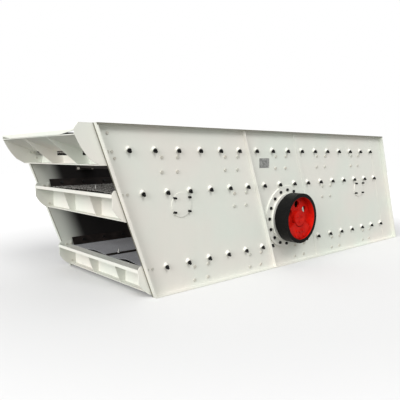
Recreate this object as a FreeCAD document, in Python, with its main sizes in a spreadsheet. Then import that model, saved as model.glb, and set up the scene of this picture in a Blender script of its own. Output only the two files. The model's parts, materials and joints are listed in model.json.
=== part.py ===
import FreeCAD, Part
import math
import os
import re
import Sketcher

# Triple-deck circular-motion vibrating screen, standing level on its own side plates.
# +X runs along the decks, +Y across them, +Z up. The origin is the middle of the footprint.
# Side plates lean: each end slopes back by LeanRun over the plate's height.

SIZES = [
    ("PlateLength", 5160, "side plate, along its bottom edge"),
    ("PlateHeight", 1722, "side plate, bottom edge to top edge"),
    ("LeanRun", 627, "how far the top edge lies behind the bottom edge"),
    ("PlateThick", 10, "side plate"),
    ("InnerWidth", 1800, "clear width between the side plates"),
    ("NoseReach", 185, "feed box nose ahead of the side plate's top corner"),
    ("EdgeDepth", 62, "outward flange round the side plate"),
    ("EdgeThick", 10, "metal of that flange"),
    ("TopRowDrop", 243, "plate's top edge down to the top deck's bolt row"),
    ("MiddleRow", 1056.5, "height of the middle deck's bolt row"),
    ("BottomRow", 292, "height of the bottom deck's bolt row"),
    ("DeckInset", 121, "from the leaning edge to the start of a deck"),
    ("BoltPitch", 300, "between tension bolts"),
    ("DeckRest", 180, "least length of plate past the end of a deck"),
    ("BoltSlope", 30, "degrees that a tension bolt dips outward"),
    ("BoltRise", 12, "row height to where the bolt leaves the plate"),
    ("BoltRadius", 12, "tension bolt shank"),
    ("BoltTail", 17, "thread past the nut"),
    ("NutAcross", 36, "tension nut and bolt head, across flats"),
    ("NutThick", 19, "tension nut"),
    ("HeadThick", 15, "tension bolt head"),
    ("WedgeRadius", 28, "angled washer"),
    ("WedgeLip", 5, "least thickness of the angled washer"),
    ("HoleClear", 1, "radial clearance of a bolt in its hole"),
    ("NutClear", 0.2, "radial clearance of a nut on its thread"),
    ("RailReach", 46, "from the plate's outer face to the rail, along the bolt"),
    ("RailHeight", 104, "tension rail, along its slope"),
    ("RailThick", 8, "tension rail"),
    ("RailLip", 22, "foot of the rail that holds the mesh edge"),
    ("MeshThick", 8, "screen mesh with its crimp"),
    ("MeshGap", 4, "mesh edge to side plate"),
    ("CapThick", 10, "rubber on top of a deck bar"),
    ("CapSkirt", 16, "rubber down the sides of a deck bar"),
    ("CapWall", 8, "rubber beside a deck bar"),
    ("BarThick", 12, "deck bar"),
    ("BarSpacing", 450, "between deck bars"),
    ("BeamDrop", 141, "bolt row down to the cross beam's centre"),
    ("BeamSize", 140, "cross beam, square tube, and load tube, round"),
    ("BeamWall", 8, "cross beam wall"),
    ("BeamRest", 877, "from the last cross beam to the far leaning edge"),
    ("BeamInset", 711, "from the leaning edge to the first cross beam"),
    ("PadLength", 250, "end plate of a cross beam, along the machine"),
    ("PadHeight", 198, "end plate of a cross beam, upright"),
    ("PadThick", 12, "end plate of a cross beam"),
    ("BeamBoltAcross", 200, "cross beam bolts, along the machine"),
    ("BeamBoltUp", 148, "cross beam bolts, upright"),
    ("BeamBoltRadius", 10, "cross beam bolt shank"),
    ("BeamHeadAcross", 30, "cross beam bolt head"),
    ("BeamHeadThick", 13, "cross beam bolt head and nut"),
    ("StudRadius", 12, "mounting stud for a spring bracket"),
    ("StudOut", 32, "free length of that stud"),
    ("MountAcross", 195, "mounting studs, along the machine"),
    ("MountPadRadius", 131, "round mounting pad"),
    ("MountPadThick", 8, "round mounting pad"),
    ("ExciterX", 2130, "exciter axis from the plate's bottom corner"),
    ("ExciterZ", 632, "exciter axis height"),
    ("TubeRadius", 190, "exciter tube, outside"),
    ("TubeWall", 12, "exciter tube wall"),
    ("RingRadius", 400, "tube flange"),
    ("RingThick", 20, "tube flange"),
    ("RingBoltCircle", 350, "radius of the tube flange's bolts"),
    ("RingBoltCount", 16, "tube flange bolts"),
    ("BossRadius", 305, "raised face of the tube flange"),
    ("BossThick", 25, "raised face of the tube flange"),
    ("HousingRadius", 165, "bearing housing spigot"),
    ("HousingReach", 110, "bearing housing spigot, from the raised face inward"),
    ("HousingFlange", 270, "bearing housing flange radius"),
    ("HousingThick", 30, "bearing housing flange"),
    ("HousingBoltCircle", 240, "radius of the housing bolts"),
    ("HousingBoltCount", 12, "housing bolts"),
    ("HousingLip", 14, "inner stop for the bearing"),
    ("BearingRadius", 130, "bearing outside"),
    ("BearingBore", 60, "bearing bore radius"),
    ("BearingWidth", 86, "bearing"),
    ("InnerRace", 80, "inner ring, outside radius"),
    ("OuterRace", 113, "outer ring, inside radius"),
    ("RaceClear", 0.3, "roller to ring"),
    ("RollerCount", 14, "rollers in a bearing"),
    ("RollerLength", 66, "roller"),
    ("CageThick", 5, "cage ring"),
    ("CageClear", 3, "cage ring to bearing rings"),
    ("CoverRadius", 185, "bearing cover"),
    ("CoverThick", 12, "bearing cover"),
    ("CoverClear", 0.3, "cover spigot in the housing"),
    ("CoverSpigotWall", 15, "cover spigot"),
    ("SealGap", 3, "cover bore round the shaft"),
    ("WheelRadius", 316, "belt wheel"),
    ("WheelWidth", 159, "belt wheel rim"),
    ("WheelOut", 258, "belt wheel's front, from the side plate's outer face"),
    ("RimInner", 268, "inside radius of the rim"),
    ("WebSet", 76, "rim front to the web"),
    ("WebThick", 24, "web"),
    ("HubRadius", 90, "hub"),
    ("HubFront", 50, "rim front to the hub's face"),
    ("ShaftEnd", 50, "shaft radius in the wheel"),
    ("ShaftMiddle", 75, "shaft radius between the bearings"),
    ("HubBackGap", 3, "hub's back face to the bearing cover"),
    ("WebHoleRadius", 47, "round hole in the web"),
    ("WebHoleCircle", 175, "radius of the web holes' centres"),
    ("WebHoleCount", 3, "round holes in the web"),
    ("WebHoleAngle", 33, "first web hole"),
    ("WeightInner", 112, "eccentric weight, inside radius"),
    ("WeightOuter", 260, "eccentric weight, outside radius"),
    ("WeightThick", 50, "eccentric weight"),
    ("WeightHalf", 62, "eccentric weight, half its angle"),
    ("WeightBoltInner", 168, "inner row of weight bolts"),
    ("WeightBoltOuter", 233, "outer row of weight bolts"),
    ("WeightBoltStep", 20, "angle between weight bolts"),
    ("CapRadius", 102, "hub end cap"),
    ("CapDepth", 24, "hub end cap"),
    ("CapBoltCircle", 45, "radius of the end cap's bolts"),
    ("SmallBoltRadius", 8, "lip, cover and end cap bolts"),
    ("SmallHeadAcross", 24, "head of those bolts"),
    ("SmallHeadThick", 10, "head of those bolts"),
    ("LipMetal", 8, "plate metal of the end lips"),
    ("ApronInset", 166, "leaning edge to the apron of a lower lip"),
    ("TopApronInset", 193, "leaning edge to the apron of the feed box"),
    ("ApronDrop", 46, "bolt row down to the top of an apron"),
    ("LipDepth", 256, "bolt row down to a lower lip's bottom flange"),
    ("TopLipDepth", 133, "bolt row down to the feed box's bottom flange"),
    ("LipFlange", 71, "bottom flange of a lower lip, ahead of its apron"),
    ("TopLipFlange", 215, "bottom flange of the feed box, ahead of its apron"),
    ("LipNose", 64, "lower lip's front, ahead of the leaning edge"),
    ("LipFront", 35, "front strip of a lower lip, upright"),
    ("LipCheekTop", 46, "bolt row up to the top of a lower cheek"),
    ("LipKnee", 115, "bolt row down to where a lower cheek turns back"),
    ("LipTuck", 5, "lower cheek ahead of the edge, halfway round its bend"),
    ("LipTuckDrop", 195, "bolt row down to that point"),
    ("LipHeel", 80, "lower cheek's foot, behind the leaning edge"),
    ("LipTray", 16, "bolt row down to the tray of a lower lip"),
    ("GussetSpacing", 600, "between the gussets under a lip"),
    ("GussetTop", 15, "lower gusset's top corner, behind the edge"),
    ("GussetFoot", 100, "lower gusset's bottom corner, behind the edge"),
    ("NoseChamfer", 48, "feed box nose, chamfer along X"),
    ("NoseChamferDrop", 63, "feed box nose, chamfer down from the top"),
    ("NoseStrip", 39, "upright strip below the chamfer"),
    ("NoseMitre", 280, "mitred corner of that strip, across"),
    ("NoseMitreDrop", 10, "strip's height left at the mitre"),
    ("ChinIn", 16, "feed box cheek, first step back from the nose"),
    ("ChinUp", 112, "height of that step above the bolt row"),
    ("JawIn", 79, "feed box cheek, step back at the bolt row"),
    ("ThroatIn", 154, "feed box cheek, lower step back"),
    ("ThroatDrop", 88, "depth of that step below the bolt row"),
    ("SkirtIn", 247, "feed box cheek, foot behind the nose"),
    ("FloorRise", 141, "bolt row up to the feed box floor's upper end"),
    ("FloorRest", 9, "bolt row up to the feed box floor's lower end"),
    ("TopGussetWaist", 118, "feed box gusset, step behind the nose"),
    ("TopGussetWaistUp", 38, "height of that step above the bolt row"),
    ("TopGussetFoot", 61, "feed box gusset's foot, behind the edge"),
    ("DeckJoint", 3, "gap between a lip and the start of a deck"),
    ("EndFlange", 60, "turned-down end of a discharge lip"),
    ("EndGap", 12, "discharge lip short of the plate's end"),
    ("RibAt", 1912, "standing rib from the bottom corner"),
    ("RibDepth", 40, "standing rib"),
    ("StripAt", 2868, "flat strip from the bottom corner"),
    ("StripWidth", 65, "flat strip"),
    ("StripThick", 6, "flat strip"),
    ("SeamAt", 4832, "narrow strip from the bottom corner"),
    ("SeamWidth", 10, "narrow strip"),
    ("SeamThick", 4, "narrow strip"),
    ("PlateSignX", 1604, "nameplate from the bottom corner"),
    ("PlateSignZ", 1273, "nameplate's lower edge"),
    ("PlateSignLength", 182, "nameplate"),
    ("PlateSignHeight", 118, "nameplate"),
    ("PlateSignThick", 2, "nameplate"),
    ("HoldWidth", 60, "centre hold-down bar"),
    ("HoldThick", 12, "centre hold-down bar"),
    ("HoldBoltOut", 44, "hold-down bolt above its bar"),
    ("HoldBoltRadius", 8, "hold-down bolt"),
]

# Lengths worked out from the sheet, in the sheet's own names.
NAMED = {
    "PlateX": "((LeanRun + NoseReach - PlateLength) / 2)",
    "NoseX": "(PlateX - LeanRun - NoseReach)",
    "Inner": "(InnerWidth / 2)",
    "Outer": "(InnerWidth / 2 + PlateThick)",
    "ExciterAt": "(PlateX + ExciterX)",
    "TopRow": "(PlateHeight - TopRowDrop)",
    "BoltCount": "floor((PlateLength - DeckInset - DeckRest) / BoltPitch)",
    "DeckLength": "(BoltPitch * BoltCount)",
    "BeamPitch": "((PlateLength - BeamInset - BeamRest) / 4)",
    "RailDrop": "(RailHeight / 2 * cos(BoltSlope) + RailThick / 2 * sin(BoltSlope)"
                " - RailReach * sin(BoltSlope) - BoltRise)",
    "RailY": "(RailReach * cos(BoltSlope) - Outer)",
    "WedgeSeat": "(WedgeRadius * tan(BoltSlope) + WedgeLip)",
    "BossFace": "(Outer + RingThick + BossThick)",
    "HousingFace": "(BossFace + HousingThick)",
    "BearingIn": "(BossFace - HousingReach + HousingLip)",
    "BearingOut": "(BearingIn + BearingWidth)",
    "CoverFace": "(HousingFace + CoverThick)",
    "WheelFront": "(Outer + WheelOut)",
    "WebFace": "(WheelFront - WebSet)",
    "HubFace": "(WheelFront - HubFront)",
    "HubBack": "(CoverFace + HubBackGap)",
}

DECKS = ("Top", "Middle", "Bottom")
ALONG_Y = FreeCAD.Rotation(FreeCAD.Vector(1, 0, 0), -90)

DOC = FreeCAD.newDocument("VibratingScreen")
NODES = []


# ---- sheet and expressions ----

def make_sheet():
    sheet = DOC.addObject("Spreadsheet::Sheet", "Sizes")
    for row, (alias, size, note) in enumerate(SIZES, start=1):
        sheet.set(f"A{row}", note)
        sheet.set(f"B{row}", str(size))
        sheet.setAlias(f"B{row}", alias)
    DOC.recompute()
    return sheet


SHEET = make_sheet()
ALIASES = {alias for alias, size, note in SIZES}


def full(text):
    # An expression with every worked-out length spelled out and every size read from the sheet.
    text = str(text)
    while any(word in NAMED for word in re.findall(r"[A-Za-z]+", text)):
        text = re.sub(r"[A-Za-z]+", lambda word: NAMED.get(word.group(), word.group()), text)
    return re.sub(r"[A-Za-z]+", lambda word: "Sizes." + word.group() if word.group() in ALIASES
                  else word.group(), text)


def value(text):
    return float(SHEET.evalExpression(full(text)))


def bind(item, prop, text):
    item.setExpression(prop, full(text))


def node(item, label):
    item.Label = label
    NODES.append(item)
    return item


def left_edge(height):
    return f"(PlateX - LeanRun / PlateHeight * ({height}))"


def deck_start(deck):
    return f"({left_edge(deck + 'Row')} + DeckInset)"


def mesh_top(deck):
    return f"({deck}Row - RailDrop)"


def mesh_under(deck):
    return f"({deck}Row - RailDrop - MeshThick)"


def beam_height(deck):
    return f"({deck}Row - BeamDrop)"


def apron_inset(deck):
    return "TopApronInset" if deck == "Top" else "ApronInset"


# ---- building blocks ----

def hold(sketch, kind, geometry, point, now, text):
    if kind == "Radius":
        index = sketch.addConstraint(Sketcher.Constraint(kind, geometry, now))
    else:
        index = sketch.addConstraint(Sketcher.Constraint(kind, -1, 1, geometry, point, now))
    sketch.setExpression(f"Constraints[{index}]", full(text))


def draw_outline(sketch, corners):
    first = sketch.GeometryCount
    count = len(corners)
    spots = [FreeCAD.Vector(value(across), value(up), 0) for across, up in corners]
    for i in range(count):
        sketch.addGeometry(Part.LineSegment(spots[i], spots[(i + 1) % count]))
    for i in range(count):
        sketch.addConstraint(Sketcher.Constraint("Coincident", first + i, 2, first + (i + 1) % count, 1))
    for i, (across, up) in enumerate(corners):
        hold(sketch, "DistanceX", first + i, 1, spots[i].x, across)
        hold(sketch, "DistanceY", first + i, 1, spots[i].y, up)


def draw_circle(sketch, across, up, radius):
    centre = FreeCAD.Vector(value(across), value(up), 0)
    index = sketch.addGeometry(Part.Circle(centre, FreeCAD.Vector(0, 0, 1), value(radius)))
    hold(sketch, "DistanceX", index, 3, centre.x, across)
    hold(sketch, "DistanceY", index, 3, centre.y, up)
    hold(sketch, "Radius", index, 0, value(radius), radius)


def body_sketch(name, plane):
    body = DOC.addObject("PartDesign::Body", name)
    sketch = body.newObject("Sketcher::SketchObject", name + "_sketch")
    base = [item for item in body.Origin.OriginFeatures if item.Role == plane][0]
    sketch.AttachmentSupport = [(base, "")]
    sketch.MapMode = "FlatFace"
    return body, sketch


def padded(name, plane, outlines, thick, middle, circles=()):
    # A flat or straight piece: its outline on an origin plane, padded both ways about `middle`.
    body, sketch = body_sketch(name, plane)
    for corners in outlines:
        draw_outline(sketch, corners)
    for across, up, radius in circles:
        draw_circle(sketch, across, up, radius)
    pad = body.newObject("PartDesign::Pad", name + "_pad")
    pad.Profile = sketch
    pad.SideType = "Symmetric"
    bind(pad, "Length", thick)
    axis = {"XY_Plane": "z", "XZ_Plane": "y", "YZ_Plane": "x"}[plane]
    bind(body, "Placement.Base." + axis, middle)
    sketch.Visibility = False
    return body


def turned(name, corners):
    # A turned piece on the exciter's axis: corners are (Y, radius).
    body, sketch = body_sketch(name, "YZ_Plane")
    draw_outline(sketch, corners)
    turn = body.newObject("PartDesign::Revolution", name + "_turn")
    turn.Profile = sketch
    turn.ReferenceAxis = (sketch, ["H_Axis"])
    turn.Angle = 360
    bind(body, "Placement.Base.x", "ExciterAt")
    bind(body, "Placement.Base.z", "ExciterZ")
    sketch.Visibility = False
    return body


def block(name, x_span, y_span, z_span):
    box = DOC.addObject("Part::Box", name)
    for prop, axis, (low, high) in (("Length", "x", x_span), ("Width", "y", y_span), ("Height", "z", z_span)):
        bind(box, prop, f"({high}) - ({low})")
        bind(box, "Placement.Base." + axis, low)
    return box


def rod(name, radius, x, z, low, high):
    # A cylinder along Y.
    cylinder = DOC.addObject("Part::Cylinder", name)
    cylinder.Placement = FreeCAD.Placement(FreeCAD.Vector(), ALONG_Y)
    bind(cylinder, "Radius", radius)
    bind(cylinder, "Height", f"({high}) - ({low})")
    bind(cylinder, "Placement.Base.x", x)
    bind(cylinder, "Placement.Base.y", low)
    bind(cylinder, "Placement.Base.z", z)
    return cylinder


def joined(name, items):
    fuse = DOC.addObject("Part::MultiFuse", name)
    fuse.Shapes = items
    fuse.Refine = True
    return fuse


def cut(name, base, tool):
    piece = DOC.addObject("Part::Cut", name)
    piece.Base = base
    piece.Tool = tool
    return piece


def group(name, items):
    compound = DOC.addObject("Part::Compound", name)
    compound.Links = items
    return compound


def far_copy(name, item):
    copy = DOC.addObject("Part::Mirroring", name)
    copy.Source = item
    copy.Normal = (0, 1, 0)
    return copy


def both_sides(name, item):
    return group(name, [item, far_copy(name + "_far", item)])


def shaped(name, solids):
    piece = DOC.addObject("Part::Feature", name)
    piece.Shape = solids[0] if len(solids) == 1 else Part.makeCompound(solids)
    return piece


# ---- fastener shapes, along a direction from a seat ----

def placed(shape, seat, direction):
    shape.Placement = FreeCAD.Placement(seat, FreeCAD.Rotation(FreeCAD.Vector(0, 0, 1), direction))
    return shape


def round_bar(radius, low, high):
    return Part.makeCylinder(radius, high - low, FreeCAD.Vector(0, 0, low))


def hex_bar(across, low, high):
    reach = across / math.sqrt(3)
    turns = [math.radians(60 * i) for i in range(7)]
    ring = [FreeCAD.Vector(reach * math.cos(a), reach * math.sin(a), low) for a in turns]
    return Part.Face(Part.makePolygon(ring)).extrude(FreeCAD.Vector(0, 0, high - low))


def headed_bolt(radius, across, head, grip):
    # Head above the seat, shank below it.
    return hex_bar(across, 0, head).fuse(round_bar(radius, -grip, head / 2)).removeSplitter()


def nut(radius, across, low, high):
    return hex_bar(across, low, high).cut(round_bar(radius + value("NutClear"), low - 1, high + 1))


OUTWARD = FreeCAD.Vector(0, -1, 0)


def tension_axis():
    slope = math.radians(value("BoltSlope"))
    return FreeCAD.Vector(0, -math.cos(slope), -math.sin(slope))


def tension_seats(deck):
    # Where each tension bolt leaves the near plate. Bolts under the tube flange move beside it.
    height = value(f"{deck}Row + BoltRise")
    start = value(f"{deck_start(deck)} + BoltPitch / 2")
    drop = value("ExciterZ") - height
    keep = value("RingRadius + WedgeRadius / cos(BoltSlope) + 2 * HoleClear")
    middle = value("ExciterAt")
    clear = math.sqrt(max(keep ** 2 - drop ** 2, 0))
    seats = []
    for i in range(int(value("BoltCount"))):
        x = start + i * value("BoltPitch")
        if abs(x - middle) < clear:
            x = middle + math.copysign(clear, x - middle)
        seats.append(FreeCAD.Vector(x, -value("Outer"), height))
    return seats


def all_tension_seats():
    return [seat for deck in DECKS for seat in tension_seats(deck)]


def rectangle_seats(x, z, across, up, face):
    return [FreeCAD.Vector(x + i * across / 2, -face, z + j * up / 2) for i in (-1, 1) for j in (-1, 1)]


def beam_places(deck):
    # Centres of the cross members of one deck. The exciter tube takes the middle one's place.
    height = beam_height(deck)
    first = f"{left_edge(height)} + BeamInset"
    steps = (0, 1, 3, 4) if deck == "Middle" else range(5)
    return [(f"({first} + {i} * BeamPitch)", height, deck == "Middle" and i in (0, 4)) for i in steps]


def beam_seats(mounting):
    across = value("MountAcross" if mounting else "BeamBoltAcross")
    face = value("Outer + MountPadThick" if mounting else "Outer")
    seats = []
    for deck in DECKS:
        for x, z, is_mounting in beam_places(deck):
            if is_mounting == mounting:
                seats += rectangle_seats(value(x), value(z), across, value("BeamBoltUp"), face)
    return seats


def circle_seats(radius, count, first, face):
    turns = [math.radians(first + 360 * i / count) for i in range(int(count))]
    x, z = value("ExciterAt"), value("ExciterZ")
    return [FreeCAD.Vector(x + radius * math.cos(a), -face, z + radius * math.sin(a)) for a in turns]


def lip_seats():
    # Bolts that hold the lips' cheeks to the near plate, from each leaning edge and bolt row.
    inner = value("DeckInset - DeckJoint") - value("SmallHeadAcross")
    low_seats = [(inner - 50, 2), (inner + 9, 2), (inner + 17, -221)]
    top_seats = [(inner - 46, 157), (inner - 44, -12), (inner, -12), (inner + 28, -73)]
    seats = []
    for deck in DECKS:
        for x, z in top_seats if deck == "Top" else low_seats:
            seats.append(FreeCAD.Vector(value(left_edge(deck + "Row")) + x, -value("Outer"),
                                        value(deck + "Row") + z))
    return seats


def ring_seats():
    return circle_seats(value("RingBoltCircle"), value("RingBoltCount"), 90, value("Outer + RingThick"))


def housing_seats():
    return circle_seats(value("HousingBoltCircle"), value("HousingBoltCount"), 15, value("HousingFace"))


def bores(name, seats, direction, radius, low, high):
    return shaped(name, [placed(round_bar(radius, low, high), seat, direction) for seat in seats])


# ---- holes shared by the pieces that a bolt passes through ----

def make_bores():
    clear = value("HoleClear")
    deep = value("PlateThick + RailReach + 60")
    wall = value("PlateThick + PadThick + MountPadThick") + 1
    return {
        "tension": bores("tension_bores", all_tension_seats(), tension_axis(),
                         value("BoltRadius") + clear, -deep, value("WedgeSeat") + 20),
        "beam": bores("beam_bores", beam_seats(False), OUTWARD, value("BeamBoltRadius") + clear, -wall, 1),
        "mount": bores("mount_bores", beam_seats(True), OUTWARD, value("StudRadius") + clear, -wall - 1, 1),
        "lip": bores("lip_bores", lip_seats(), OUTWARD, value("SmallBoltRadius") + clear,
                     -value("PlateThick + LipMetal") - 1, 1),
        "ring": bores("ring_bores", ring_seats(), OUTWARD, value("BoltRadius") + clear,
                      -value("RingThick + PlateThick") - 1, 1),
        "housing": bores("housing_bores", housing_seats(), OUTWARD, value("BeamBoltRadius") + clear,
                         -value("HousingThick + BossThick + RingThick"), 1),
    }


# ---- side plates ----

def plate_outline(margin):
    low, high = margin, f"PlateHeight - {margin}"
    return [(f"{left_edge(low)} + {margin}", low), (f"{left_edge(low)} + PlateLength - {margin}", low),
            (f"{left_edge(high)} + PlateLength - {margin}", high), (f"{left_edge(high)} + {margin}", high)]


def leaning_strip(name, start, width, depth):
    low, high = "EdgeThick", "PlateHeight - EdgeThick"
    corners = [(f"{left_edge(low)} + {start}", low), (f"{left_edge(low)} + {start} + {width}", low),
               (f"{left_edge(high)} + {start} + {width}", high), (f"{left_edge(high)} + {start}", high)]
    return padded(name, "XZ_Plane", [corners], depth, f"-(Outer + {depth} / 2)")


def make_sides(tools):
    blank = padded("side_blank", "XZ_Plane", [plate_outline("0")], "PlateThick", "-(Inner + PlateThick / 2)",
                   circles=[("ExciterAt", "ExciterZ", "TubeRadius + HoleClear / 2")])
    holes = group("side_holes", [tools[key] for key in ("tension", "beam", "mount", "lip", "ring")])
    near = node(cut("side_near", blank, holes), "near_side_plate")
    node(far_copy("side_far", near), "far_side_plate")
    rim = padded("edge_near", "XZ_Plane", [plate_outline("0"), plate_outline("EdgeThick")], "EdgeDepth",
                 "-(Outer + EdgeDepth / 2)")
    node(rim, "near_edge_flanges")
    node(far_copy("edge_far", rim), "far_edge_flanges")
    ribs = group("ribs_near", [leaning_strip("rib_standing", "RibAt", "EdgeThick", "RibDepth"),
                               leaning_strip("rib_flat", "StripAt", "StripWidth", "StripThick"),
                               leaning_strip("rib_seam", "SeamAt", "SeamWidth", "SeamThick")])
    node(ribs, "near_ribs")
    node(far_copy("ribs_far", ribs), "far_ribs")
    sign = block("sign", ("PlateX + PlateSignX", "PlateX + PlateSignX + PlateSignLength"),
                 ("-Outer - PlateSignThick", "-Outer"), ("PlateSignZ", "PlateSignZ + PlateSignHeight"))
    node(sign, "nameplate")


# ---- cross members ----

def cross_member(name, x, z, is_round):
    # A tube between the side plates with a bolting plate welded on each end.
    half = "BeamSize / 2"
    if is_round:
        tube = cut(name + "_tube", rod(name + "_out", half, x, z, "-Inner", "Inner"),
                   rod(name + "_in", half + " - BeamWall", x, z, "-Inner", "Inner"))
    else:
        square = [(f"{x} - {half}", f"{z} - {half}"), (f"{x} + {half}", f"{z} - {half}"),
                  (f"{x} + {half}", f"{z} + {half}"), (f"{x} - {half}", f"{z} + {half}")]
        bore = f"({half} - BeamWall)"
        hollow = [(f"{x} - {bore}", f"{z} - {bore}"), (f"{x} + {bore}", f"{z} - {bore}"),
                  (f"{x} + {bore}", f"{z} + {bore}"), (f"{x} - {bore}", f"{z} + {bore}")]
        tube = padded(name + "_tube", "XZ_Plane", [square, hollow], "InnerWidth", "0")
    ends = [block(f"{name}_end{i}", (f"{x} - PadLength / 2", f"{x} + PadLength / 2"), span,
                  (f"{z} - PadHeight / 2", f"{z} + PadHeight / 2"))
            for i, span in enumerate((("-Inner", "PadThick - Inner"), ("Inner - PadThick", "Inner")))]
    return joined(name, [tube] + ends)


def make_cross_members(tools):
    load_tubes = []
    holes = both_sides("beam_holes", group("beam_holes_near", [tools["beam"], tools["mount"]]))
    for deck in DECKS:
        beams = []
        for i, (x, z, is_mounting) in enumerate(beam_places(deck)):
            member = cross_member(f"{deck.lower()}_member{i}", x, z, is_mounting)
            (load_tubes if is_mounting else beams).append(member)
        name = f"{deck.lower()}_cross_beams"
        node(cut(name, group(name + "_blank", beams), holes), name)
    node(cut("load_tubes", group("load_tubes_blank", load_tubes), holes), "load_tubes")
    discs = [rod(f"mount_disc{i}", "MountPadRadius", x, z, "-Outer - MountPadThick", "-Outer")
             for i, (x, z, is_mounting) in enumerate(beam_places("Middle")) if is_mounting]
    near = cut("mount_pads_near", group("mount_discs", discs), tools["mount"])
    node(both_sides("mount_pads", near), "mount_pads")


def make_member_bolts():
    head, across = value("BeamHeadThick"), value("BeamHeadAcross")
    radius, grip = value("BeamBoltRadius"), value("PlateThick + PadThick")
    bolts = []
    for seat in beam_seats(False):
        bolts.append(placed(headed_bolt(radius, across, head, grip + head), seat, OUTWARD))
        bolts.append(placed(nut(radius, across, -grip - head, -grip), seat, OUTWARD))
    node(both_sides("beam_bolts", shaped("beam_bolts_near", bolts)), "beam_bolts")
    grip = value("PlateThick + PadThick + MountPadThick")
    studs = []
    for seat in beam_seats(True):
        stud = round_bar(value("StudRadius"), -grip - 1, value("StudOut"))
        back = hex_bar(value("NutAcross"), -grip - value("HeadThick"), -grip)
        studs.append(placed(stud.fuse(back).removeSplitter(), seat, OUTWARD))
    node(both_sides("mount_studs", shaped("mount_studs_near", studs)), "mount_studs")


# ---- decks ----

def deck_bar(name, deck, y):
    # A bar on edge along the deck, notched in front to lie over the apron.
    start, top = deck_start(deck), f"{mesh_under(deck)} - CapThick"
    foot = f"{beam_height(deck)} + BeamSize / 2"
    notch = f"{left_edge(deck + 'Row')} + {apron_inset(deck)} + LipMetal"
    shelf = f"{deck}Row - ApronDrop"
    corners = [(start, top), (start, shelf), (notch, shelf), (notch, foot),
               (f"{start} + DeckLength", foot), (f"{start} + DeckLength", top)]
    return padded(name, "XZ_Plane", [corners], "BarThick", y)


def rubber_cap(name, deck, y):
    # A rubber channel pressed over the top of a deck bar.
    top = mesh_under(deck)
    side, wall = "BarThick / 2", "(BarThick / 2 + CapWall)"
    low, roof = f"{top} - CapThick - CapSkirt", f"{top} - CapThick"
    corners = [(f"{y} - {wall}", low), (f"{y} - {wall}", top), (f"{y} + {wall}", top), (f"{y} + {wall}", low),
               (f"{y} + {side}", low), (f"{y} + {side}", roof), (f"{y} - {side}", roof), (f"{y} - {side}", low)]
    return padded(name, "YZ_Plane", [corners], "DeckLength", f"{deck_start(deck)} + DeckLength / 2")


def hold_seats(deck, height):
    start, pitch = value(deck_start(deck)), value("BoltPitch")
    count = int(value("BoltCount")) // 2
    return [FreeCAD.Vector(start + pitch / 2 + 2 * i * pitch, 0, value(height)) for i in range(count)]


def hold_bores(deck):
    radius = value("HoldBoltRadius + HoleClear")
    depth = value("HoldThick + MeshThick + CapThick")
    seats = hold_seats(deck, f"{mesh_top(deck)} + HoldThick")
    return bores(f"{deck}_hold_bores", seats, FreeCAD.Vector(0, 0, 1), radius, -depth, 1)


def tension_rail(name, deck):
    # The near rail: a plate square to its bolts, with a foot that holds the mesh edge.
    y, z = "RailY", f"({deck}Row + BoltRise + RailReach * sin(BoltSlope))"
    along_y, along_z = "RailHeight / 2 * sin(BoltSlope)", "RailHeight / 2 * cos(BoltSlope)"
    off_y, off_z = "RailThick / 2 * cos(BoltSlope)", "RailThick / 2 * sin(BoltSlope)"
    corners = [(f"{y} - {along_y} - {off_y}", f"{z} + {along_z} - {off_z}"),
               (f"{y} - {along_y} + {off_y}", f"{z} + {along_z} + {off_z}"),
               (f"{y} + {along_y} + {off_y}", f"{z} - {along_z} + {off_z}"),
               (f"{y} + {along_y} + {off_y} + RailLip", f"{z} - {along_z} + {off_z}"),
               (f"{y} + {along_y} + {off_y} + RailLip", f"{z} - {along_z} - {off_z}"),
               (f"{y} + {along_y} - {off_y}", f"{z} - {along_z} - {off_z}")]
    return padded(name, "YZ_Plane", [corners], "DeckLength", f"{deck_start(deck)} + DeckLength / 2")


def make_decks(tools):
    hold_bars, hold_bolts = [], []
    for deck in DECKS:
        name = deck.lower()
        lines = (("left", "-BarSpacing"), ("centre", "0"), ("right", "BarSpacing"))
        node(group(name + "_bars", [deck_bar(f"{name}_bar_{at}", deck, y) for at, y in lines]),
             name + "_deck_bars")
        drilled = hold_bores(deck)
        caps = group(name + "_cap_blank", [rubber_cap(f"{name}_cap_{at}", deck, y) for at, y in lines])
        node(cut(name + "_caps", caps, drilled), name + "_bar_caps")
        span = (deck_start(deck), f"{deck_start(deck)} + DeckLength")
        cloth = block(name + "_cloth", span, ("MeshGap - Inner", "Inner - MeshGap"),
                      (mesh_under(deck), mesh_top(deck)))
        node(cut(name + "_mesh", cloth, drilled), name + "_screen_mesh")
        strap = block(name + "_strap", span, ("-HoldWidth / 2", "HoldWidth / 2"),
                      (mesh_top(deck), f"{mesh_top(deck)} + HoldThick"))
        hold_bars.append(cut(name + "_hold_bar", strap, drilled))
        depth = value("HoldThick + MeshThick + CapThick")
        radius, out = value("HoldBoltRadius"), value("HoldBoltOut")
        across, thick = value("SmallHeadAcross"), value("SmallHeadThick")
        for seat in hold_seats(deck, f"{mesh_top(deck)} + HoldThick"):
            post = round_bar(radius, -depth, out).fuse(hex_bar(across, 0, thick)).removeSplitter()
            hold_bolts.append(placed(post, seat, FreeCAD.Vector(0, 0, 1)))
    node(group("hold_bars", hold_bars), "hold_down_bars")
    node(shaped("hold_bolts", hold_bolts), "hold_down_bolts")
    rails = group("rails_blank", [tension_rail(f"{deck.lower()}_rail", deck) for deck in DECKS])
    near = node(cut("rails_near", rails, tools["tension"]), "near_tension_rails")
    node(far_copy("rails_far", near), "far_tension_rails")


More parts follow.
